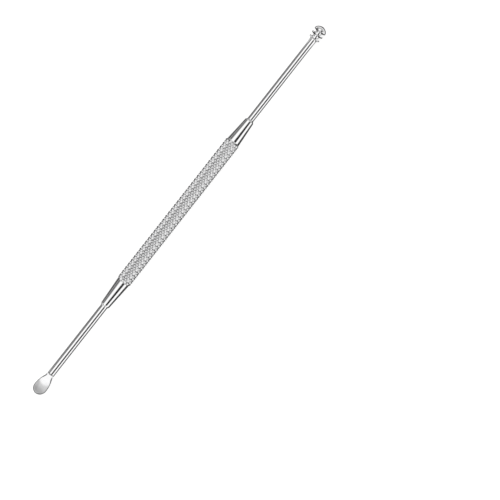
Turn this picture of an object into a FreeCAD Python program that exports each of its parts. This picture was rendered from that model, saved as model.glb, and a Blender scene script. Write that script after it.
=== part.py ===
# Ear pick, turned from one bar of stainless steel, 4 mm before knurling.
# A scoop is forged on one end, the grip is diamond knurled between two long cones,
# and the other end carries two thin rings under a domed cap.
# Everything is laid out along X from the scoop's tip, with the axis of the bar at Z = 0,
# and the finished part is then set down on its grip with the scoop facing up.
import FreeCAD
import Part
import Sketcher

import math
import os

from FreeCAD import Vector

document = FreeCAD.newDocument("ear_pick")

# Driving dimensions, in millimetres
sizes = document.addObject("Spreadsheet::Sheet", "Sizes")
dimensions = (
    ("scoop_length", 5.8, "scoop tip to the step at its neck"),
    ("scoop_width", 3.6, "widest part of the scoop, and its round nose"),
    ("scoop_side_radius", 7.3, "long curve from the nose to the neck, seen from above"),
    ("scoop_tail_inset", 0.393, "how far inside the shank both of those curves end"),
    ("scoop_dish_radius", 7.0, "hollow face of the scoop"),
    ("scoop_wall", 0.5, "metal left in the scoop"),
    ("scoop_level_at", 5.6, "scoop tip to where its face lies level"),
    ("scoop_face_height", 0.1, "level part of the face above the axis"),
    ("scoop_edge_bevel", 0.1, "bevel on the scoop's rim"),
    ("step_radius", 2.5, "step at the neck, seen from above"),
    ("step_slope", 20.0, "lean of that step, in degrees"),
    ("neck_length", 7.8, "scoop tip to where the underside starts to rise"),
    ("neck_sweep_radius", 10.0, "rising underside of the neck"),
    ("neck_sweep_gap", 0.02, "how far below the bar that sweep starts"),
    ("scoop_shank_diameter", 2.0, ""),
    ("scoop_shank_length", 28.3, "scoop tip to the shoulder"),
    ("scoop_shoulder_length", 0.5, ""),
    ("scoop_shoulder_diameter", 2.6, "small end of the cone"),
    ("scoop_cone_length", 7.4, ""),
    ("cone_diameter", 3.6, "big end of both cones"),
    ("grip_length", 46.2, ""),
    ("grip_diameter", 4.1, "over the points of the knurl"),
    ("knurl_depth", 0.36, ""),
    ("knurl_starts", 12, "grooves each way round the grip"),
    ("knurl_pitch", 1.2, "one diamond along the grip"),
    ("head_cone_length", 6.7, ""),
    ("head_shoulder_diameter", 2.56, "small end of the cone"),
    ("head_shoulder_length", 0.45, ""),
    ("head_shank_diameter", 1.85, ""),
    ("head_shank_length", 26.8, "shoulder to the rim of the first ring"),
    ("first_ring_diameter", 2.95, ""),
    ("second_ring_diameter", 3.2, ""),
    ("cap_diameter", 3.3, ""),
    ("ring_thickness", 0.36, ""),
    ("ring_spacing", 1.2, "rim to rim of the two rings"),
    ("cap_spacing", 1.0, "rim of the second ring to the rim of the cap"),
    ("cap_height", 1.45, "rim of the cap to the top of its dome"),
    ("ring_lean", 0.26, "how far each rim stands forward of its root"),
    ("ring_root_bevel", 0.15, ""),
    ("ring_edge_bevel", 0.1, ""),
)
for line, (alias, value, note) in enumerate(dimensions, start=1):
    sizes.set("A%d" % line, alias.replace("_", " "))
    sizes.set("B%d" % line, str(value))
    sizes.set("C%d" % line, note)
    sizes.setAlias("B%d" % line, alias)
document.recompute()


def size(alias):
    return float(getattr(sizes, alias))


def value_of(expression):
    return float(sizes.evalExpression(expression))


# Stations along the bar, as expressions on the sheet
SHOULDER = "Sizes.scoop_shank_length"
CONE = SHOULDER + " + Sizes.scoop_shoulder_length"
GRIP = CONE + " + Sizes.scoop_cone_length"
GRIP_END = GRIP + " + Sizes.grip_length"
HEAD_CONE_END = GRIP_END + " + Sizes.head_cone_length"
HEAD_SHANK = HEAD_CONE_END + " + Sizes.head_shoulder_length"
FIRST_RING = HEAD_SHANK + " + Sizes.head_shank_length"
SECOND_RING = FIRST_RING + " + Sizes.ring_spacing"
CAP = SECOND_RING + " + Sizes.cap_spacing"
END = CAP + " + Sizes.cap_height"

# Bar left under the knurl's grooves
GRIP_CORE = "(Sizes.grip_diameter / 2 - 2 * Sizes.knurl_depth)"

# The knurl's lowest points lie half a step either side of straight down
AXIS_HEIGHT = "Sizes.grip_diameter / 2 * cos(90 / Sizes.knurl_starts * 1 deg)"

ON_AXIS = "0"
SAME_PLACE = 0.001


def origin_plane(body, role):
    return next(plane for plane in body.Origin.OriginFeatures if plane.Role == role)


def new_body(name, sketch_name, plane_role):
    body = document.addObject("PartDesign::Body", name)
    sketch = body.newObject("Sketcher::SketchObject", sketch_name)
    sketch.AttachmentSupport = [(origin_plane(body, plane_role), "")]
    sketch.MapMode = "FlatFace"
    return body, sketch


def bind_constraint(sketch, kind, *where, to):
    number = sketch.addConstraint(Sketcher.Constraint(kind, *where, value_of(to)))
    sketch.setExpression("Constraints[%d]" % number, to)


def fix_point(sketch, geometry, end, across, up):
    # Ties one point to the sheet, measured from the sketch's origin
    bind_constraint(sketch, "DistanceX", -1, 1, geometry, end, to=across)
    if up == ON_AXIS:
        sketch.addConstraint(Sketcher.Constraint("PointOnObject", geometry, end, -1))
    else:
        bind_constraint(sketch, "DistanceY", -1, 1, geometry, end, to=up)


def join(sketch, first, first_end, second, second_end):
    sketch.addConstraint(Sketcher.Constraint("Coincident", first, first_end, second, second_end))


def arc_through(centre, start, finish):
    # Counterclockwise from start to finish
    circle = Part.Circle(centre, Vector(0, 0, 1), (start - centre).Length)
    angles = [math.atan2(point.y - centre.y, point.x - centre.x) for point in (start, finish)]
    if angles[1] <= angles[0]:
        angles[1] += 2 * math.pi
    return Part.ArcOfCircle(circle, *angles)


# The turned bar, from the neck of the scoop to the end of the dome
def radius(alias):
    return "Sizes.%s / 2" % alias


def ring_corners(rim_at, ring_radius):
    half = "Sizes.ring_thickness / 2"
    root_at = rim_at + " - Sizes.ring_lean"
    core = radius("head_shank_diameter")
    return [
        (root_at + " - " + half, core),
        (rim_at + " - " + half, ring_radius),
        (rim_at + " + " + half, ring_radius),
        (root_at + " + " + half, core),
    ]


corners = [
    ("Sizes.neck_length", ON_AXIS),
    ("Sizes.neck_length", radius("scoop_shank_diameter")),
    (SHOULDER, radius("scoop_shank_diameter")),
    (CONE, radius("scoop_shoulder_diameter")),
    (GRIP, radius("cone_diameter")),
    (GRIP, GRIP_CORE),
    (GRIP_END, GRIP_CORE),
    (GRIP_END, radius("cone_diameter")),
    (HEAD_CONE_END, radius("head_shoulder_diameter")),
    (HEAD_SHANK, radius("head_shank_diameter")),
]
corners += ring_corners(FIRST_RING, radius("first_ring_diameter"))
corners += ring_corners(SECOND_RING, radius("second_ring_diameter"))
corners += [
    (CAP + " - Sizes.ring_lean", radius("head_shank_diameter")),
    (CAP, radius("cap_diameter")),
    (END, ON_AXIS),
]

turned, profile = new_body("TurnedBar", "TurnedProfile", "XZ_Plane")
places = [Vector(value_of(across), value_of(up), 0) for across, up in corners]
dome = len(places) - 2
rim, tip = places[-2:]
for start, finish in zip(places[:-2], places[1:-1]):
    profile.addGeometry(Part.LineSegment(start, finish))

# The dome is part of a ball whose centre lies on the axis
dome_height = tip.x - rim.x
ball_radius = (rim.y**2 + dome_height**2) / (2 * dome_height)
profile.addGeometry(arc_through(Vector(tip.x - ball_radius, 0, 0), tip, rim))
profile.addGeometry(Part.LineSegment(tip, places[0]))

for number in range(dome - 1):
    join(profile, number, 2, number + 1, 1)
join(profile, dome - 1, 2, dome, 2)
join(profile, dome, 1, dome + 1, 1)
join(profile, dome + 1, 2, 0, 1)
for number, (across, up) in enumerate(corners[:-2]):
    fix_point(profile, number, 1, across, up)
fix_point(profile, dome, 2, *corners[-2])
fix_point(profile, dome, 1, *corners[-1])
profile.addConstraint(Sketcher.Constraint("PointOnObject", dome, 3, -1))

spun = turned.newObject("PartDesign::Revolution", "TurnedShape")
spun.Profile = profile
spun.ReferenceAxis = (profile, ["H_Axis"])
spun.Angle = 360
document.recompute()


def break_circles(body, base, name, circles, alias):
    # Bevels the turned edges that lie at the given stations and radii
    names = []
    for number, edge in enumerate(base.Shape.Edges, start=1):
        if edge.Degenerated or not isinstance(edge.Curve, Part.Circle):
            continue
        for across, up in circles:
            along = abs(edge.Curve.Center.x - value_of(across))
            around = abs(edge.Curve.Radius - value_of(up))
            if max(along, around) < SAME_PLACE:
                names.append("Edge%d" % number)
    chamfer = body.newObject("PartDesign::Chamfer", name)
    chamfer.Base = (base, names)
    chamfer.setExpression("Size", "Sizes." + alias)
    document.recompute()
    return chamfer


rings = [ring_corners(FIRST_RING, radius("first_ring_diameter"))]
rings.append(ring_corners(SECOND_RING, radius("second_ring_diameter")))
edges = [ring[1] for ring in rings] + [ring[2] for ring in rings] + [corners[-2]]
roots = [ring[0] for ring in rings] + [ring[3] for ring in rings] + [corners[-3]]
edged = break_circles(turned, spun, "RingEdges", edges, "ring_edge_bevel")
rooted = break_circles(turned, edged, "RingRoots", roots, "ring_root_bevel")

# Plan of the scoop: a half round nose, and two long arcs that run back and end in the shank
outline_body, outline = new_body("ScoopPlan", "ScoopOutline", "XY_Plane")
nose_radius = size("scoop_width") / 2
side_radius = size("scoop_side_radius")
nose = Vector(nose_radius, 0, 0)
back_half = size("scoop_shank_diameter") / 2 - size("scoop_tail_inset")
side_rise = side_radius - nose_radius + back_half
back = nose_radius + math.sqrt(side_radius**2 - side_rise**2)
left = Vector(nose_radius, nose_radius, 0)
right = Vector(nose_radius, -nose_radius, 0)
back_left = Vector(back, back_half, 0)
back_right = Vector(back, -back_half, 0)
outline.addGeometry(arc_through(nose, left, right))
outline.addGeometry(arc_through(Vector(nose_radius, side_radius - nose_radius, 0), right, back_right))
outline.addGeometry(Part.LineSegment(back_right, back_left))
outline.addGeometry(arc_through(Vector(nose_radius, nose_radius - side_radius, 0), back_left, left))
for first, second in ((0, 1), (1, 2), (2, 3), (3, 0)):
    join(outline, first, 2, second, 1)
outline.addConstraint(Sketcher.Constraint("PointOnObject", 0, 3, -1))
bind_constraint(outline, "DistanceX", -1, 1, 0, 3, to=radius("scoop_width"))
bind_constraint(outline, "Radius", 0, to=radius("scoop_width"))
for side in (1, 3):
    outline.addConstraint(Sketcher.Constraint("Vertical", 0, 3, side, 3))
    bind_constraint(outline, "Radius", side, to="Sizes.scoop_side_radius")
for end in (1, 2):
    outline.addConstraint(Sketcher.Constraint("Vertical", 0, 3, 0, end))
outline.addConstraint(Sketcher.Constraint("Vertical", 2))
tail_width = "Sizes.scoop_shank_diameter - 2 * Sizes.scoop_tail_inset"
bind_constraint(outline, "DistanceY", 2, 1, 2, 2, to=tail_width)

plan = outline_body.newObject("PartDesign::Pad", "ScoopPlanHeight")
plan.Profile = outline
plan.SideType = "Symmetric"
plan.setExpression("Length", "Sizes.grip_diameter * 2")
document.recompute()


def primitive(kind, name, at, **properties):
    feature = document.addObject("Part::" + kind, name)
    for key, expression in properties.items():
        feature.setExpression(key, expression)
    for axis, expression in zip("xyz", at):
        feature.setExpression(".Placement.Base." + axis, expression)
    return feature


def boolean(kind, name, base, tool):
    feature = document.addObject("Part::" + kind, name)
    feature.Base = base
    feature.Tool = tool
    return feature


# The blade is a dished sheet between two spheres on one centre, inside the plan
dish_centre = (
    "Sizes.scoop_level_at",
    "0",
    "Sizes.scoop_face_height + Sizes.scoop_dish_radius",
)
back_sphere = primitive(
    "Sphere", "ScoopBack", dish_centre, Radius="Sizes.scoop_dish_radius + Sizes.scoop_wall"
)
face_sphere = primitive("Sphere", "ScoopFace", dish_centre, Radius="Sizes.scoop_dish_radius")
sheet = boolean("Cut", "DishedSheet", back_sphere, face_sphere)
flat_edged = boolean("Common", "ScoopBlank", outline_body, sheet)
document.recompute()

# The rim, where the plan's walls meet the two spheres, is bevelled
blade = document.addObject("Part::Chamfer", "ScoopBlade")
blade.Base = flat_edged
edge_bevel = size("scoop_edge_bevel")
blade.Edges = [
    (number, edge_bevel, edge_bevel)
    for number, edge in enumerate(flat_edged.Shape.Edges, start=1)
    if not edge.Degenerated and isinstance(edge.Curve, Part.BSplineCurve)
]
document.recompute()

# The neck is the end of the bar, with an underside that rises to meet the blade
neck_bar = primitive(
    "Cylinder",
    "NeckBar",
    ("Sizes.scoop_level_at / 2", "0", "0"),
    Radius=radius("scoop_shank_diameter"),
    Height="Sizes.neck_length - Sizes.scoop_level_at / 2",
)
neck_bar.Placement.Rotation = FreeCAD.Rotation(Vector(0, 0, 1), Vector(1, 0, 0))
underside = primitive(
    "Sphere",
    "NeckUnderside",
    (
        "Sizes.neck_length",
        "0",
        "Sizes.neck_sweep_radius - Sizes.scoop_shank_diameter / 2 - Sizes.neck_sweep_gap",
    ),
    Radius="Sizes.neck_sweep_radius",
)
swept_neck = boolean("Common", "SweptNeck", neck_bar, underside)

# Above the face the neck is cut away, back to a step with a round, leaning wall
opening = primitive(
    "Box",
    "ScoopOpening",
    (
        "-Sizes.scoop_wall",
        "-Sizes.scoop_width",
        "-Sizes.scoop_shank_diameter",
    ),
    Length="Sizes.scoop_length + Sizes.scoop_shank_diameter / 2 + Sizes.scoop_wall",
    Width="2 * Sizes.scoop_width",
    Height="3 * Sizes.scoop_shank_diameter",
)
above_face = boolean("Common", "AboveFace", face_sphere, opening)
step = primitive(
    "Cone",
    "NeckStep",
    ("Sizes.scoop_length + Sizes.step_radius", "0", "-Sizes.scoop_shank_diameter"),
    Radius1="Sizes.step_radius + Sizes.scoop_shank_diameter * tan(Sizes.step_slope * 1 deg)",
    Radius2="Sizes.step_radius - Sizes.scoop_shank_diameter * tan(Sizes.step_slope * 1 deg)",
    Height="2 * Sizes.scoop_shank_diameter",
)
cutter = boolean("Cut", "NeckCutter", above_face, step)
neck = boolean("Cut", "Neck", swept_neck, cutter)
document.recompute()


# The grip's diamonds: points and groove crossings alternate round the bar and along it.
# Each crossing is joined to the next along both helices, so every groove has a sharp
# bottom line and every diamond is a pyramid of four flats.
def knurl_point(row, step_round, rows, steps):
    start = value_of(GRIP)
    along = start + size("grip_length") * row / rows
    tip_radius = size("grip_diameter") / 2
    root_radius = tip_radius - size("knurl_depth")
    if row in (0, rows):
        # The first and last rows fade out inside the ends of the cones
        along += math.copysign(size("knurl_depth") / 2, row - rows / 2)
        around = size("cone_diameter") / 2 - size("knurl_depth") / 2
    elif (row + step_round) % 2 == 0:
        around = tip_radius
    else:
        around = root_radius
    turn = 2 * math.pi * (step_round + 0.5) / steps
    return Vector(along, around * math.cos(turn), around * math.sin(turn))


def triangle(*places):
    return Part.Face(Part.makePolygon([*places, places[0]]))


def knurled_solid():
    steps = 2 * round(size("knurl_starts"))
    rows = round(2 * size("grip_length") / size("knurl_pitch"))
    grid = [
        [knurl_point(row, turn, rows, steps) for turn in range(steps)]
        for row in range(rows + 1)
    ]
    faces = [triangle(*grid[0]), triangle(*grid[rows])]
    for row in range(rows):
        near, far = grid[row], grid[row + 1]
        for turn in range(steps):
            beside = (turn + 1) % steps
            if (row + turn) % 2 == 0:
                faces.append(triangle(near[turn], far[turn], near[beside]))
                faces.append(triangle(far[turn], far[beside], near[beside]))
            else:
                faces.append(triangle(near[turn], far[turn], far[beside]))
                faces.append(triangle(near[turn], far[beside], near[beside]))
    shell = Part.makeShell(faces)
    shell.sewShape()
    return Part.makeSolid(shell)


knurl = document.addObject("Part::Feature", "KnurledGrip")
knurl.Shape = knurled_solid()

# One piece of steel, set down on its grip
ear_pick = document.addObject("Part::MultiFuse", "EarPick")
ear_pick.Label = "ear_pick"
ear_pick.Shapes = [turned, neck, blade, knurl]
ear_pick.Refine = False
ear_pick.setExpression(".Placement.Base.x", "-(%s) / 2" % END)
ear_pick.setExpression(".Placement.Base.z", AXIS_HEIGHT)
document.recompute()

for item in document.Objects:
    if {"Invalid", "Error"} & set(item.State):
        raise RuntimeError("%s did not build: %s" % (item.Label, item.State))

for item in (blade, neck, turned, knurl, ear_pick):
    if item.Shape.isNull() or not item.Shape.isValid():
        raise RuntimeError("%s has no sound shape" % item.Label)
    print(item.Label, "solids", len(item.Shape.Solids), "volume", round(item.Shape.Volume, 3))

os.makedirs("parts", exist_ok=True)
ear_pick.Shape.exportStep("parts/%s.step" % ear_pick.Label)
box = ear_pick.Shape.optimalBoundingBox(False)
for axis, least, most in (("x", box.XMin, box.XMax), ("y", box.YMin, box.YMax), ("z", box.ZMin, box.ZMax)):
    print("box", axis, round(least, 3), round(most, 3))
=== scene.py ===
import math

import bmesh
import bpy
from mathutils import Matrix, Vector


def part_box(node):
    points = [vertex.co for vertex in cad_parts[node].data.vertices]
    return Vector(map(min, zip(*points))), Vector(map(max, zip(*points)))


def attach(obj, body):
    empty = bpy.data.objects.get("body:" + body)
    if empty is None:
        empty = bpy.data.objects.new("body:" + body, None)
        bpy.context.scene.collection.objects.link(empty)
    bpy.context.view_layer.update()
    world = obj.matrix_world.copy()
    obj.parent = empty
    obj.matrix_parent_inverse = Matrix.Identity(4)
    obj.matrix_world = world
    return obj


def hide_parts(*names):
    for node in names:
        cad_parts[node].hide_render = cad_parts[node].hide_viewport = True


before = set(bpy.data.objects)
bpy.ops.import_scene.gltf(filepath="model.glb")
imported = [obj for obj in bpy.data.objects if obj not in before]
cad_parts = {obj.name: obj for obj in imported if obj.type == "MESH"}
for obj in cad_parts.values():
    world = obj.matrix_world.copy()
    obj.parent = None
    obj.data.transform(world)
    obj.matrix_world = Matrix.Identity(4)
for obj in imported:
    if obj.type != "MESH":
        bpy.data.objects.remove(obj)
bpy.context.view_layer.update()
low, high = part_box("ear_pick")
mm = 0.001
axisHeight = high.y  # the grip's points stand as far out sideways as they do down
longestFace = 0.5  # millimetres along the axis
roundSegments = 6
turnedSteps = 96
sameSpot = 1e-7
print("frame loaded, tool length in mm:", round((high.x - low.x) / mm, 2))


def along(fromTip):
    # Metres in the frame for a distance in millimetres from the scoop's tip
    return low.x + fromTip * mm


def smoothStep(start, end, value):
    share = min(1, max(0, (value - start) / (end - start)))
    return share * share * (3 - 2 * share)


def softMin(first, second, reach):
    # The smaller of two heights, with their crossing eased over the reach
    share = max(reach - abs(first - second), 0) / reach
    return min(first, second) - share * share * reach / 4


def softMax(first, second, reach):
    return -softMin(-first, -second, reach)


def turnedMesh(profile):
    # Spins a profile round the tool's axis. Each corner is (mm from the tip, radius, rounding)
    bm = bmesh.new()
    corners = [bm.verts.new((along(place), 0, axisHeight + out * mm)) for place, out, _ in profile]
    for first, second in zip(corners, corners[1:]):
        bm.edges.new((first, second))
    for corner, (_, _, rounding) in zip(corners, profile):
        if rounding:
            bmesh.ops.bevel(
                bm,
                geom=[corner],
                offset=rounding * mm,
                segments=roundSegments,
                profile=0.5,
                affect="VERTICES",
                material=-1,
            )
    for edge in bm.edges[:]:
        cuts = math.ceil(edge.calc_length() / (longestFace * mm)) - 1
        if cuts > 0:
            bmesh.ops.subdivide_edges(bm, edges=[edge], cuts=cuts)
    bmesh.ops.spin(
        bm,
        geom=bm.verts[:] + bm.edges[:],
        cent=(0, 0, axisHeight),
        axis=(1, 0, 0),
        angle=2 * math.pi,
        steps=turnedSteps,
        use_merge=True,
    )
    bmesh.ops.remove_doubles(bm, verts=bm.verts[:], dist=sameSpot)
    return bm


def finishedPiece(bm, name, *materials):
    # Closes, turns outwards and smooths a mesh, and puts it in the scene as a piece of the tool
    bmesh.ops.remove_doubles(bm, verts=bm.verts[:], dist=sameSpot)
    bmesh.ops.recalc_face_normals(bm, faces=bm.faces[:])
    for face in bm.faces:
        face.smooth = True
    mesh = bpy.data.meshes.new(name)
    bm.to_mesh(mesh)
    bm.free()
    piece = bpy.data.objects.new(name, mesh)
    bpy.context.scene.collection.objects.link(piece)
    for material in materials:
        mesh.materials.append(material)
    flats = piece.modifiers.new("Flats keep their normals", "WEIGHTED_NORMAL")
    flats.keep_sharp = True
    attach(piece, "root")
    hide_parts("ear_pick")
    print(name, "faces:", len(mesh.polygons))


# Materials
steelColour = (0.86, 0.86, 0.865)
toolMarks = {
    "acrossScale": 60,
    "lineDetail": 3,
    "mottleScale": 420,
    "mottleDetail": 4,
    "mottleRange": (0.3, 0.7),
}


def turningLinesGroup(sizes):
    # Fine tool marks that run round the axis, as a height and a mask
    group = bpy.data.node_groups.new("Turning Lines", "ShaderNodeTree")
    group.interface.new_socket(name="Vector", in_out="INPUT", socket_type="NodeSocketVector")
    group.interface.new_socket(name="Lines per mm", in_out="INPUT", socket_type="NodeSocketFloat")
    group.interface.new_socket(name="Height", in_out="OUTPUT", socket_type="NodeSocketFloat")
    group.interface.new_socket(name="Mottle", in_out="OUTPUT", socket_type="NodeSocketFloat")
    nodes, links = group.nodes, group.links
    into = nodes.new("NodeGroupInput")
    out = nodes.new("NodeGroupOutput")
    stretch = nodes.new("ShaderNodeCombineXYZ")
    stretch.inputs["Y"].default_value = sizes["acrossScale"]
    stretch.inputs["Z"].default_value = sizes["acrossScale"]
    perMetre = nodes.new("ShaderNodeMath")
    perMetre.operation = "MULTIPLY"
    perMetre.inputs[1].default_value = 1 / mm
    scaled = nodes.new("ShaderNodeVectorMath")
    scaled.operation = "MULTIPLY"
    lines = nodes.new("ShaderNodeTexNoise")
    lines.inputs["Scale"].default_value = 1
    lines.inputs["Detail"].default_value = sizes["lineDetail"]
    mottle = nodes.new("ShaderNodeTexNoise")
    mottle.inputs["Scale"].default_value = sizes["mottleScale"]
    mottle.inputs["Detail"].default_value = sizes["mottleDetail"]
    links.new(into.outputs["Lines per mm"], perMetre.inputs[0])
    links.new(perMetre.outputs[0], stretch.inputs["X"])
    links.new(into.outputs["Vector"], scaled.inputs[0])
    links.new(stretch.outputs[0], scaled.inputs[1])
    links.new(scaled.outputs[0], lines.inputs["Vector"])
    links.new(into.outputs["Vector"], mottle.inputs["Vector"])
    links.new(lines.outputs[0], out.inputs["Height"])
    links.new(mottle.outputs[0], out.inputs["Mottle"])
    return group


turningLines = turningLinesGroup(toolMarks)


def steelMaterial(name, shade, roughness, roughnessSpread, lineDepth, linesPerMm):
    material = bpy.data.materials.new(name)
    material.use_nodes = True
    nodes, links = material.node_tree.nodes, material.node_tree.links
    shader = nodes["Principled BSDF"]
    shader.inputs["Base Color"].default_value = [shade * channel for channel in steelColour] + [1]
    shader.inputs["Metallic"].default_value = 1
    place = nodes.new("ShaderNodeTexCoord")
    marks = nodes.new("ShaderNodeGroup")
    marks.node_tree = turningLines
    marks.inputs["Lines per mm"].default_value = linesPerMm
    spread = nodes.new("ShaderNodeMapRange")
    spread.inputs["From Min"].default_value = toolMarks["mottleRange"][0]
    spread.inputs["From Max"].default_value = toolMarks["mottleRange"][1]
    spread.inputs["To Min"].default_value = roughness - roughnessSpread
    spread.inputs["To Max"].default_value = roughness + roughnessSpread
    bump = nodes.new("ShaderNodeBump")
    bump.inputs["Strength"].default_value = 1
    bump.inputs["Distance"].default_value = lineDepth * mm
    links.new(place.outputs["Object"], marks.inputs["Vector"])
    links.new(marks.outputs["Mottle"], spread.inputs["Value"])
    links.new(spread.outputs["Result"], shader.inputs["Roughness"])
    links.new(marks.outputs["Height"], bump.inputs["Height"])
    links.new(bump.outputs["Normal"], shader.inputs["Normal"])
    return material


turnedSteel = steelMaterial(
    "Turned Steel", shade=1, roughness=0.12, roughnessSpread=0.03, lineDepth=0.0004, linesPerMm=12
)
knurledSteel = steelMaterial(
    "Knurled Steel", shade=0.84, roughness=0.14, roughnessSpread=0.04, lineDepth=0.002, linesPerMm=5
)
# Rougher steel for the rim and the step's wall; its dark colour is painted shade standing in for the
# dark reflections there
paintedShadeSteel = steelMaterial(
    "Rough Steel With Painted Shade", shade=0.28, roughness=0.3, roughnessSpread=0.05, lineDepth=0.002, linesPerMm=5
)
print("materials made")

# Scoop end: the forged scoop and its neck, then the turned shank and cone
scoop = {
    "length": 5.8,
    "noseRadius": 1.8,
    "sideRadius": 7.3,
    "dishRadius": 7.0,
    "wall": 0.5,
    "levelAt": 5.6,
    "faceHeight": 0.1,
    "neckFlatness": 0.9,
    "flattens": (2.2, 4.2),
    "neckFrom": 4.7,
    "neckFlare": 0.5,
    "stepRadius": 2.5,
    "stepSlope": 20,
    "stepRound": 0.06,
    "sweepRadius": 10.0,
    "sweepGap": 0.02,
    "neckEnd": 7.8,
    "shankRadius": 1.0,
    "neckEdgeHeight": 0.17,
    "neckReached": 0.1,
    # How softly the curved surfaces run into each other
    "bladeEase": 0.12,
    "sweepEase": 0.06,
    "neckEase": 0.02,
    # The grid: columns from the tip to the shank, and steps round from the middle of the face
    "spineStart": 0.9,
    "nudge": 0.01,
    "noseColumns": 20,
    "sideColumns": 26,
    "sideShare": 0.96,
    "neckRun": 1.6,
    "neckColumns": 8,
    "around": turnedSteps // 2,
    "faceSteps": 22,
    "rimSteps": 12,
    # The painted shade starts this many steps past the face on the rim, and inside it at the neck
    "paintedShadeRim": 2,
    "paintedShadeNeck": -9,
    "paintedShadeColumns": (33, 46),
    # The turned shank, shoulder and cone
    "shoulderAt": 28.3,
    "coneAt": 28.8,
    "shoulderRadius": 1.3,
    "coneEnd": 36.2,
    "coneRadius": 1.8,
    "buried": 0.16,
    "edgeRound": 0.08,
}
# Half the neck's width where the flat face cuts its round sides
scoop["neckHalf"] = math.sqrt(scoop["shankRadius"] ** 2 - scoop["neckEdgeHeight"] ** 2)


def dishShare(sizes, x):
    # The dish is as round across as along at the nose, and nearly flat across at the neck
    return 1 - sizes["neckFlatness"] * smoothStep(*sizes["flattens"], x)


def dishHeight(sizes, radius, x, y):
    # The lower half of a ball, flattened towards the neck, in millimetres from the tip and the axis
    centre = sizes["faceHeight"] + sizes["dishRadius"]
    return centre - math.sqrt(radius**2 - (x - sizes["levelAt"]) ** 2 - dishShare(sizes, x) * y**2)


def neckUnderside(sizes, x, y):
    shank = sizes["shankRadius"]
    barrel = -math.sqrt(max(shank**2 - y**2, 0))
    centre = sizes["sweepRadius"] - shank - sizes["sweepGap"]
    sweep = centre - math.sqrt(sizes["sweepRadius"] ** 2 - (x - sizes["neckEnd"]) ** 2 - y**2)
    return softMax(barrel, sweep, sizes["sweepEase"])


def scoopEdge(sizes, turn):
    # Half of the scoop seen from above: turn 0 is the tip, 1 the widest place and 2 the step
    nose = sizes["noseRadius"]
    if turn <= 1:
        angle = math.radians(180 - 90 * turn)
        return nose * (1 + math.cos(angle)), nose * math.sin(angle)
    x = nose + (sizes["length"] - nose) * (turn - 1)
    side = nose - sizes["sideRadius"] + math.sqrt(sizes["sideRadius"] ** 2 - (x - nose) ** 2)
    return x, softMax(side, sizes["neckHalf"], sizes["neckFlare"])


def cornerAngle(sizes, step):
    # Where a step round the section lies on the neck, in degrees above level
    corner = math.degrees(math.acos(sizes["neckHalf"] / sizes["shankRadius"]))
    if step <= sizes["faceSteps"]:
        across = math.sin(math.radians(180 * step / sizes["around"]))
        share = across / math.sin(math.radians(180 * sizes["faceSteps"] / sizes["around"]))
        return math.degrees(math.acos(sizes["neckHalf"] * share))
    share = (step - sizes["faceSteps"]) / (sizes["around"] - sizes["faceSteps"])
    return corner - (90 + corner) * share


def scoopPoint(sizes, turn, step):
    # One point of the scoop, on the section that starts at this place on its edge
    x, y = scoopEdge(sizes, turn)
    aheadX, aheadY = scoopEdge(sizes, min(turn + sizes["nudge"], 2))
    behindX, behindY = scoopEdge(sizes, max(turn - sizes["nudge"], 0))
    outward = Vector((behindY - aheadY, aheadX - behindX, 0)).normalized()
    if turn == 0:
        outward = Vector((-1, 0, 0))
    half = sizes["wall"] / 2
    middle = sizes["dishRadius"] + half
    centre = Vector((sizes["levelAt"], 0, sizes["faceHeight"] + sizes["dishRadius"]))
    place = Vector((x, y, 0)) - half * outward
    place.z = dishHeight(sizes, middle, place.x, place.y)
    up = centre - place
    up.y *= dishShare(sizes, place.x)
    up.normalize()
    out = (outward - outward.dot(up) * up).normalized()
    squeeze = 1 - sizes["spineStart"] / sizes["noseRadius"]
    spineX = min(x, sizes["noseRadius"]) * squeeze + sizes["spineStart"]
    spine = Vector((max(x, spineX), 0, 0))
    toNeck = smoothStep(sizes["neckFrom"], sizes["length"] - sizes["neckReached"], x)
    angle = math.radians(cornerAngle(sizes, step))
    if step <= sizes["faceSteps"]:
        edge = place + half * up
        edge = edge.lerp(Vector((x, sizes["neckHalf"], 0)), toNeck)
        share = math.cos(angle) / sizes["neckHalf"] * sizes["shankRadius"]
        point = spine.lerp(edge, share)
        point.z = dishHeight(sizes, sizes["dishRadius"], point.x, point.y)
        return point
    rimShare = (step - sizes["faceSteps"]) / sizes["rimSteps"]
    if rimShare <= 1:
        blade = place + half * (math.cos(math.pi * rimShare) * up + math.sin(math.pi * rimShare) * out)
    else:
        left = sizes["around"] - sizes["faceSteps"] - sizes["rimSteps"]
        share = (step - sizes["faceSteps"] - sizes["rimSteps"]) / left
        blade = (place - half * up).lerp(spine, share)
        under = dishHeight(sizes, sizes["dishRadius"] + sizes["wall"], blade.x, blade.y)
        blade.z = softMin(under, neckUnderside(sizes, blade.x, blade.y), sizes["bladeEase"])
    neck = Vector((x, sizes["shankRadius"] * math.cos(angle), 0))
    side = sizes["shankRadius"] * math.sin(angle)
    neck.z = softMax(side, neckUnderside(sizes, x, neck.y), sizes["neckEase"])
    return blade.lerp(neck, toNeck)


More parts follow.
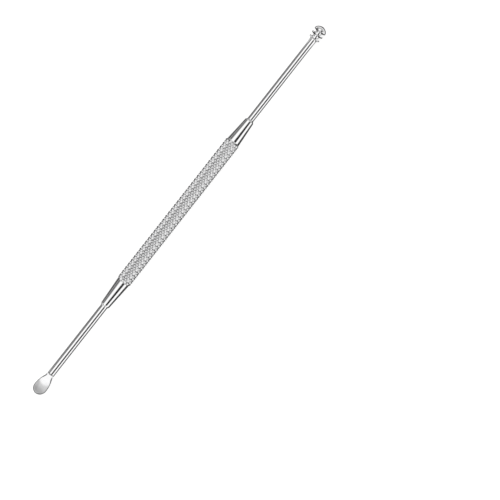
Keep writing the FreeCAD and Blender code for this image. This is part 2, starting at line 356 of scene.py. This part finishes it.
def stepPoint(sizes, bend, step):
    # One point of the wall where the face ends: bend goes from -1 at its foot to 1 at its top
    angle = math.radians(cornerAngle(sizes, step))
    y = sizes["shankRadius"] * math.cos(angle)
    across = min(y, sizes["neckHalf"]) if step < sizes["faceSteps"] else sizes["neckHalf"]
    foot = sizes["length"] + sizes["stepRadius"] - math.sqrt(sizes["stepRadius"] ** 2 - across**2)
    if step >= sizes["faceSteps"]:
        side = sizes["shankRadius"] * math.sin(angle)
        under = softMax(side, neckUnderside(sizes, foot, y), sizes["neckEase"])
        return Vector((foot + sizes["neckEase"] * bend, y, under))
    face = dishHeight(sizes, sizes["dishRadius"], foot, y)
    rise = sizes["shankRadius"] * math.sin(angle) - face
    slope = math.radians(sizes["stepSlope"])
    rounding = min(sizes["stepRound"], rise / 3)
    run = rounding * math.tan((math.pi / 2 - slope) / 2)
    bent = (math.pi / 2 - slope) * (1 - abs(bend))
    lift = rounding * (1 - math.cos(bent))
    if bend < 0:
        return Vector((foot - run + rounding * math.sin(bent), y, face + lift))
    top = foot + rise * math.tan(slope)
    return Vector((top + run - rounding * math.sin(bent), y, face + rise - lift))


def neckPoint(sizes, x, step):
    # One point of the round neck behind the step
    even = 90 - 180 * step / sizes["around"]
    angle = cornerAngle(sizes, step)
    angle = math.radians(angle + (even - angle) * smoothStep(sizes["length"], sizes["neckEnd"], x))
    y = sizes["shankRadius"] * math.cos(angle)
    z = sizes["shankRadius"] * math.sin(angle)
    if z < 0 and x < sizes["neckEnd"]:
        z = softMax(z, neckUnderside(sizes, x, y), sizes["neckEase"])
    return Vector((x, y, z))


def scoopMesh(bm, sizes):
    # Bends half a grid into the scoop and its neck, column by column from the tip, and mirrors it.
    # The step's wall has two columns close to 0, which bound its flat part
    bends = [share / 3 for share in (-3, -2, -1, -0.001, 0.001, 1, 2, 3)]
    count = sizes["neckColumns"]
    necks = [sizes["neckEnd"] - sizes["neckRun"] * share / count for share in range(count, -1, -1)]
    scoopColumns = sizes["noseColumns"] + sizes["sideColumns"]
    columns = scoopColumns + len(bends) + len(necks)
    made = bmesh.ops.create_grid(bm, x_segments=columns, y_segments=sizes["around"], size=0.5)
    faces = list(dict.fromkeys(face for vert in made["verts"] for face in vert.link_faces))
    edges = list(dict.fromkeys(edge for face in faces for edge in face.edges))
    for face in faces:
        # The rim, the sides of the neck and the wall of the step get the rougher steel, whose darker
        # colour is painted shade for their dark reflections
        middle = face.calc_center_median()
        column = (middle.x + 0.5) * columns
        pastFace = (middle.y + 0.5) * sizes["around"] - sizes["faceSteps"]
        towardsNeck = smoothStep(*sizes["paintedShadeColumns"], column)
        paintedShadeFrom = sizes["paintedShadeRim"] + (sizes["paintedShadeNeck"] - sizes["paintedShadeRim"]) * towardsNeck
        onRim = column < scoopColumns and paintedShadeFrom < pastFace < sizes["rimSteps"]
        onStep = scoopColumns + 1 < column < scoopColumns + len(bends) and pastFace < 0
        face.material_index = int(onRim or onStep)
    for vert in made["verts"]:
        column = round((vert.co.x + 0.5) * columns)
        step = round((vert.co.y + 0.5) * sizes["around"])
        if column <= sizes["noseColumns"]:
            point = scoopPoint(sizes, column / sizes["noseColumns"], step)
        elif column <= scoopColumns:
            turn = 1 + sizes["sideShare"] * (column - sizes["noseColumns"]) / sizes["sideColumns"]
            point = scoopPoint(sizes, turn, step)
        elif column <= scoopColumns + len(bends):
            point = stepPoint(sizes, bends[column - scoopColumns - 1], step)
        else:
            point = neckPoint(sizes, necks[column - scoopColumns - len(bends) - 1], step)
        vert.co = (along(point.x), point.y * mm, axisHeight + point.z * mm)
    bmesh.ops.mirror(bm, geom=[*made["verts"], *edges, *faces], axis="Y", merge_dist=sameSpot)


def scoopEndMesh(sizes):
    shank = sizes["shankRadius"]
    end = sizes["coneEnd"] + sizes["buried"]
    profile = [
        (sizes["neckEnd"], shank, 0),
        (sizes["shoulderAt"], shank, sizes["edgeRound"]),
        (sizes["coneAt"], sizes["shoulderRadius"], sizes["edgeRound"]),
        (sizes["coneEnd"], sizes["coneRadius"], sizes["edgeRound"]),
        (end, sizes["coneRadius"] - sizes["buried"], 0),
        (end, 0, 0),
    ]
    bm = turnedMesh(profile)
    scoopMesh(bm, sizes)
    return bm


# Its second material, the rougher steel, carries painted shade on the rim and the step's wall
finishedPiece(scoopEndMesh(scoop), "scoop_end", turnedSteel, paintedShadeSteel)

# Knurled grip, from one end of the knurl to the other
grip = {
    "start": 36.2,
    "length": 46.2,
    "tipRadius": 2.05,
    "depth": 0.36,
    "starts": 12,
    "pitch": 1.2,
    "endRadius": 1.62,
    "endReach": 0.18,
    "ridgeRound": 0.02,
    "ridgeSegments": 2,
    "grooveAngle": 0.5,
}


def knurledGrip(sizes):
    # Points and groove crossings alternate, and the crossings are joined along the grooves
    rows = round(2 * sizes["length"] / sizes["pitch"])
    steps = 2 * sizes["starts"]
    bm = bmesh.new()
    bmesh.ops.create_grid(bm, x_segments=rows, y_segments=steps, size=0.5)
    roots = []
    for vert in bm.verts:
        row = round((vert.co.x + 0.5) * rows)
        step = round((vert.co.y + 0.5) * steps)
        place = sizes["start"] + sizes["length"] * row / rows
        radius = sizes["tipRadius"]
        if row in (0, rows):
            place += math.copysign(sizes["endReach"], row - rows / 2)
            radius = sizes["endRadius"]
        elif (row + step) % 2 == 1:
            radius -= sizes["depth"]
            roots.append(vert)
        turn = 2 * math.pi * (step + 0.5) / steps
        vert.co = (along(place), radius * mm * math.cos(turn), axisHeight + radius * mm * math.sin(turn))
    bmesh.ops.remove_doubles(bm, verts=bm.verts[:], dist=sameSpot)
    roots = [vert for vert in roots if vert.is_valid]
    ridges = bm.edges[:]
    bmesh.ops.connect_verts(bm, verts=roots)
    bmesh.ops.triangulate(bm, faces=[face for face in bm.faces if len(face.verts) > 3])
    ridges = [edge for edge in ridges if edge.is_valid and not edge.is_boundary]
    bmesh.ops.bevel(
        bm,
        geom=ridges,
        offset=sizes["ridgeRound"] * mm,
        segments=sizes["ridgeSegments"],
        profile=0.5,
        affect="EDGES",
        material=-1,
        clamp_overlap=True,
    )
    bmesh.ops.holes_fill(bm, edges=[edge for edge in bm.edges if edge.is_boundary])
    bmesh.ops.recalc_face_normals(bm, faces=bm.faces[:])
    # Only the bottoms of the grooves stay sharp
    for edge in bm.edges:
        edge.smooth = edge.calc_face_angle_signed() > -sizes["grooveAngle"]
    return bm


finishedPiece(knurledGrip(grip), "knurled_grip", knurledSteel)

# Ringed end: cone, shank, two thin rings that lean forward, and a domed cap
head = {
    "gripEnd": 82.4,
    "buried": 0.16,
    "coneRadius": 1.8,
    "coneEnd": 89.1,
    "shoulderRadius": 1.28,
    "shankAt": 89.55,
    "shankRadius": 0.925,
    "grooveRadius": 0.85,
    "rings": ((116.35, 1.475), (117.55, 1.6)),
    "rimHalf": 0.16,
    "rimRound": 0.04,
    "rootRound": 0.06,
    "flareRound": 0.25,
    "lean": 0.26,
    "capAt": 118.55,
    "capRadius": 1.65,
    "capRim": 0.2,
    "top": 120,
    "domeSharpness": 0.2,
    "domeSteps": 24,
    "edgeRound": 0.08,
}


def domeProfile(sizes):
    # Between a cone and a ball, from the end of the cap's rim to the tip of the dome
    points = []
    rise = sizes["top"] - sizes["capAt"] - sizes["capRim"]
    for step in range(sizes["domeSteps"], -1, -1):
        angle = math.pi / 2 * step / sizes["domeSteps"]
        cone = sizes["domeSharpness"] * math.sin(angle)
        ball = (1 - sizes["domeSharpness"]) * (1 - math.cos(angle))
        points.append((sizes["top"] - rise * (cone + ball), sizes["capRadius"] * math.sin(angle), 0))
    return points


def ringedEndMesh(sizes):
    start = sizes["gripEnd"] - sizes["buried"]
    shank, groove, half = sizes["shankRadius"], sizes["grooveRadius"], sizes["rimHalf"]
    profile = [
        (start, 0, 0),
        (start, sizes["coneRadius"] - sizes["buried"], 0),
        (sizes["gripEnd"], sizes["coneRadius"], sizes["edgeRound"]),
        (sizes["coneEnd"], sizes["shoulderRadius"], sizes["edgeRound"]),
        (sizes["shankAt"], shank, sizes["edgeRound"]),
    ]
    foot, footRound = shank, sizes["flareRound"]
    for place, radius in sizes["rings"]:
        profile += [
            (place - sizes["lean"] - half, foot, footRound),
            (place - half, radius, sizes["rimRound"]),
            (place + half, radius, sizes["rimRound"]),
            (place - sizes["lean"] + half, groove, sizes["rootRound"]),
        ]
        foot, footRound = groove, sizes["rootRound"]
    profile += [(sizes["capAt"] - sizes["lean"], groove, sizes["rootRound"])]
    profile += [(sizes["capAt"], sizes["capRadius"], sizes["rimRound"])]
    profile += domeProfile(sizes)
    return turnedMesh(profile)


finishedPiece(ringedEndMesh(head), "ringed_end", turnedSteel)

# Floor, light and camera. What the steel mirrors of the floor is set in millimetres beside the tool
# and round each end
studio = {
    "floorSize": 3.0,
    "paper": (0.6, 0.6, 0.6, 1),
    "paperGlow": 0.7,
    "beside": ((-3.4, 0.05), (-1.6, 0.8), (1.6, 0.8), (3.0, 0.7), (5.5, 0.15), (9.0, 0.05)),
    "besideReach": 10,
    "roundEnds": ((0, 0.03), (5.2, 0.03), (7.4, 0.95)),
    "roundReach": 10,
    "endCentre": 59.0,
    "endFrom": (54.8, 55.6),
    "viewAngle": 51.89,
    "lookAt": (0.00303, -0.02067),
    "pictureWidth": 0.12915,
    "lens": 150,
    "sensor": 36,
}


def lightAlong(tree, value, span, unit, stops, brightest):
    # A light that changes with a value, from (value, light) pairs given in this unit
    share = tree.nodes.new("ShaderNodeMapRange")
    share.inputs["From Min"].default_value = span[0] * unit
    share.inputs["From Max"].default_value = span[1] * unit
    ramp = tree.nodes.new("ShaderNodeValToRGB")
    elements = ramp.color_ramp.elements
    elements.remove(elements[1])
    for number, (place, light) in enumerate(stops):
        position = (place - span[0]) / (span[1] - span[0])
        element = elements[0] if number == 0 else elements.new(position)
        element.position = position
        element.color = (light / brightest, light / brightest, light / brightest, 1)
    tree.links.new(value, share.inputs["Value"])
    tree.links.new(share.outputs["Result"], ramp.inputs["Fac"])
    return ramp.outputs["Color"]


# The sockets of a Mix node when it mixes colours: factor, first and second colour, and result
mixFrom = (0, 6, 7)
mixResult = 2


def mixedLight(tree, blend, *sources):
    # Factor, first and second light, each a socket to link or a constant
    mix = tree.nodes.new("ShaderNodeMix")
    mix.data_type = "RGBA"
    mix.blend_type = blend
    for number, source in zip(mixFrom, sources):
        if isinstance(source, bpy.types.NodeSocket):
            tree.links.new(source, mix.inputs[number])
        else:
            mix.inputs[number].default_value = source
    return mix.outputs[mixResult]


def paleFloor(sizes):
    bm = bmesh.new()
    bmesh.ops.create_grid(bm, x_segments=1, y_segments=1, size=sizes["floorSize"] / 2)
    mesh = bpy.data.meshes.new("floor")
    bm.to_mesh(mesh)
    bm.free()
    floor = bpy.data.objects.new("floor", mesh)
    bpy.context.scene.collection.objects.link(floor)
    material = bpy.data.materials.new("Pale Floor")
    material.use_nodes = True
    tree = material.node_tree
    nodes, links = tree.nodes, tree.links
    nodes.clear()
    out = nodes.new("ShaderNodeOutputMaterial")
    path = nodes.new("ShaderNodeLightPath")
    paper = nodes.new("ShaderNodeBsdfDiffuse")
    paper.inputs["Color"].default_value = sizes["paper"]
    glow = nodes.new("ShaderNodeEmission")
    glow.inputs["Strength"].default_value = sizes["paperGlow"]
    lit = nodes.new("ShaderNodeAddShader")
    place = nodes.new("ShaderNodeTexCoord")
    split = nodes.new("ShaderNodeSeparateXYZ")
    alongTool = nodes.new("ShaderNodeMath")
    alongTool.operation = "ABSOLUTE"
    onFloor = nodes.new("ShaderNodeCombineXYZ")
    fromEnd = nodes.new("ShaderNodeVectorMath")
    fromEnd.operation = "DISTANCE"
    fromEnd.inputs[1].default_value = (sizes["endCentre"] * mm, 0, 0)
    pastEnd = nodes.new("ShaderNodeMapRange")
    pastEnd.inputs["From Min"].default_value = sizes["endFrom"][0] * mm
    pastEnd.inputs["From Max"].default_value = sizes["endFrom"][1] * mm
    mirrored = nodes.new("ShaderNodeEmission")
    choose = nodes.new("ShaderNodeMixShader")
    links.new(place.outputs["Object"], split.inputs[0])
    links.new(split.outputs["X"], alongTool.inputs[0])
    links.new(alongTool.outputs[0], pastEnd.inputs["Value"])
    links.new(alongTool.outputs[0], onFloor.inputs["X"])
    links.new(split.outputs["Y"], onFloor.inputs["Y"])
    links.new(onFloor.outputs[0], fromEnd.inputs[0])
    reach = sizes["besideReach"]
    beside = lightAlong(tree, split.outputs["Y"], (-reach, reach), mm, sizes["beside"], 1)
    reach = sizes["roundReach"]
    roundEnd = lightAlong(tree, fromEnd.outputs["Value"], (0, reach), mm, sizes["roundEnds"], 1)
    light = mixedLight(tree, "MIX", pastEnd.outputs["Result"], beside, roundEnd)
    links.new(light, mirrored.inputs["Color"])
    links.new(paper.outputs[0], lit.inputs[0])
    links.new(glow.outputs[0], lit.inputs[1])
    links.new(path.outputs["Is Glossy Ray"], choose.inputs[0])
    links.new(lit.outputs[0], choose.inputs[1])
    links.new(mirrored.outputs[0], choose.inputs[2])
    links.new(choose.outputs[0], out.inputs[0])
    mesh.materials.append(material)


# Light round the tool: angles in degrees from straight up, plus is towards -Y.
# Reach is measured along the tool: 0 is square across it, 1 is at the head's end
sky = {
    "brightest": 1.2,
    "across": (
        (-90, 0.45), (-84, 0.38), (-78, 0.3), (-70, 0.16), (-60, 0.14), (-52, 0.26), (-44, 0.7),
        (-36, 1.1), (-28, 1.2), (2, 1.15), (10, 0.02), (42, 0.02), (50, 1.1), (60, 1.2), (86, 1.15),
        (94, 1.0),
    ),
    "towardsEnds": (
        (-90, 1.0), (-60, 1.2), (-12, 1.2), (12, 1.2), (20, 1.0), (42, 1.0), (52, 1.2), (94, 1.2),
    ),
    "towardsHead": (
        (-90, 0.2), (-60, 0.3), (-35, 0.4), (-24, 1.0), (0, 1.15), (14, 1.15), (20, 0.1), (42, 0.05),
        (52, 0.4), (94, 0.4),
    ),
    "endsReach": ((-0.82, 0), (-0.74, 1), (-0.42, 1), (-0.26, 0), (0.26, 0), (0.42, 1)),
    "headReach": ((0.26, 0), (0.42, 1), (0.62, 1), (0.7, 0)),
    "fade": (
        (-1, 0.2), (-0.96, 0.3), (-0.92, 0.95), (0.3, 1), (0.6, 0.97), (0.66, 0.8), (0.72, 0.62),
        (0.83, 0.56), (0.92, 0.44), (1, 0.38),
    ),
    "backdrop": (0.8, 0.8, 0.8, 1),
}


def softSky(sizes):
    # Two wide soft boxes overhead with a dark gap between them, to one side of the camera
    world = bpy.data.worlds.new("Studio")
    bpy.context.scene.world = world
    world.use_nodes = True
    tree = world.node_tree
    nodes, links = tree.nodes, tree.links
    background = nodes["Background"]
    background.inputs["Strength"].default_value = sizes["brightest"]
    place = nodes.new("ShaderNodeTexCoord")
    split = nodes.new("ShaderNodeSeparateXYZ")
    flip = nodes.new("ShaderNodeMath")
    flip.operation = "MULTIPLY"
    flip.inputs[1].default_value = -1
    turn = nodes.new("ShaderNodeMath")
    turn.operation = "ARCTAN2"
    links.new(place.outputs["Generated"], split.inputs[0])
    links.new(split.outputs["Y"], flip.inputs[0])
    links.new(flip.outputs[0], turn.inputs[0])
    links.new(split.outputs["Z"], turn.inputs[1])

    def byTurn(name):
        stops, brightest = sizes[name], sizes["brightest"]
        return lightAlong(tree, turn.outputs[0], (-180, 180), math.radians(1), stops, brightest)

    def byReach(name):
        return lightAlong(tree, split.outputs["X"], (-1, 1), 1, sizes[name], 1)

    light = mixedLight(tree, "MIX", byReach("endsReach"), byTurn("across"), byTurn("towardsEnds"))
    light = mixedLight(tree, "MIX", byReach("headReach"), light, byTurn("towardsHead"))
    light = mixedLight(tree, "MULTIPLY", 1, light, byReach("fade"))
    path = nodes.new("ShaderNodeLightPath")
    seen = mixedLight(tree, "MIX", path.outputs["Is Camera Ray"], light, sizes["backdrop"])
    links.new(seen, background.inputs["Color"])


def overheadCamera(sizes):
    lens = bpy.data.cameras.new("camera")
    lens.lens = sizes["lens"]
    lens.sensor_width = sizes["sensor"]
    camera = bpy.data.objects.new("camera", lens)
    bpy.context.scene.collection.objects.link(camera)
    distance = sizes["pictureWidth"] * sizes["lens"] / sizes["sensor"]
    camera.location = (*sizes["lookAt"], axisHeight + distance)
    camera.rotation_euler = (0, 0, -math.radians(sizes["viewAngle"]))
    bpy.context.scene.camera = camera


paleFloor(studio)
softSky(sky)
overheadCamera(studio)
bpy.context.scene.view_settings.view_transform = "Standard"
print("studio ready")
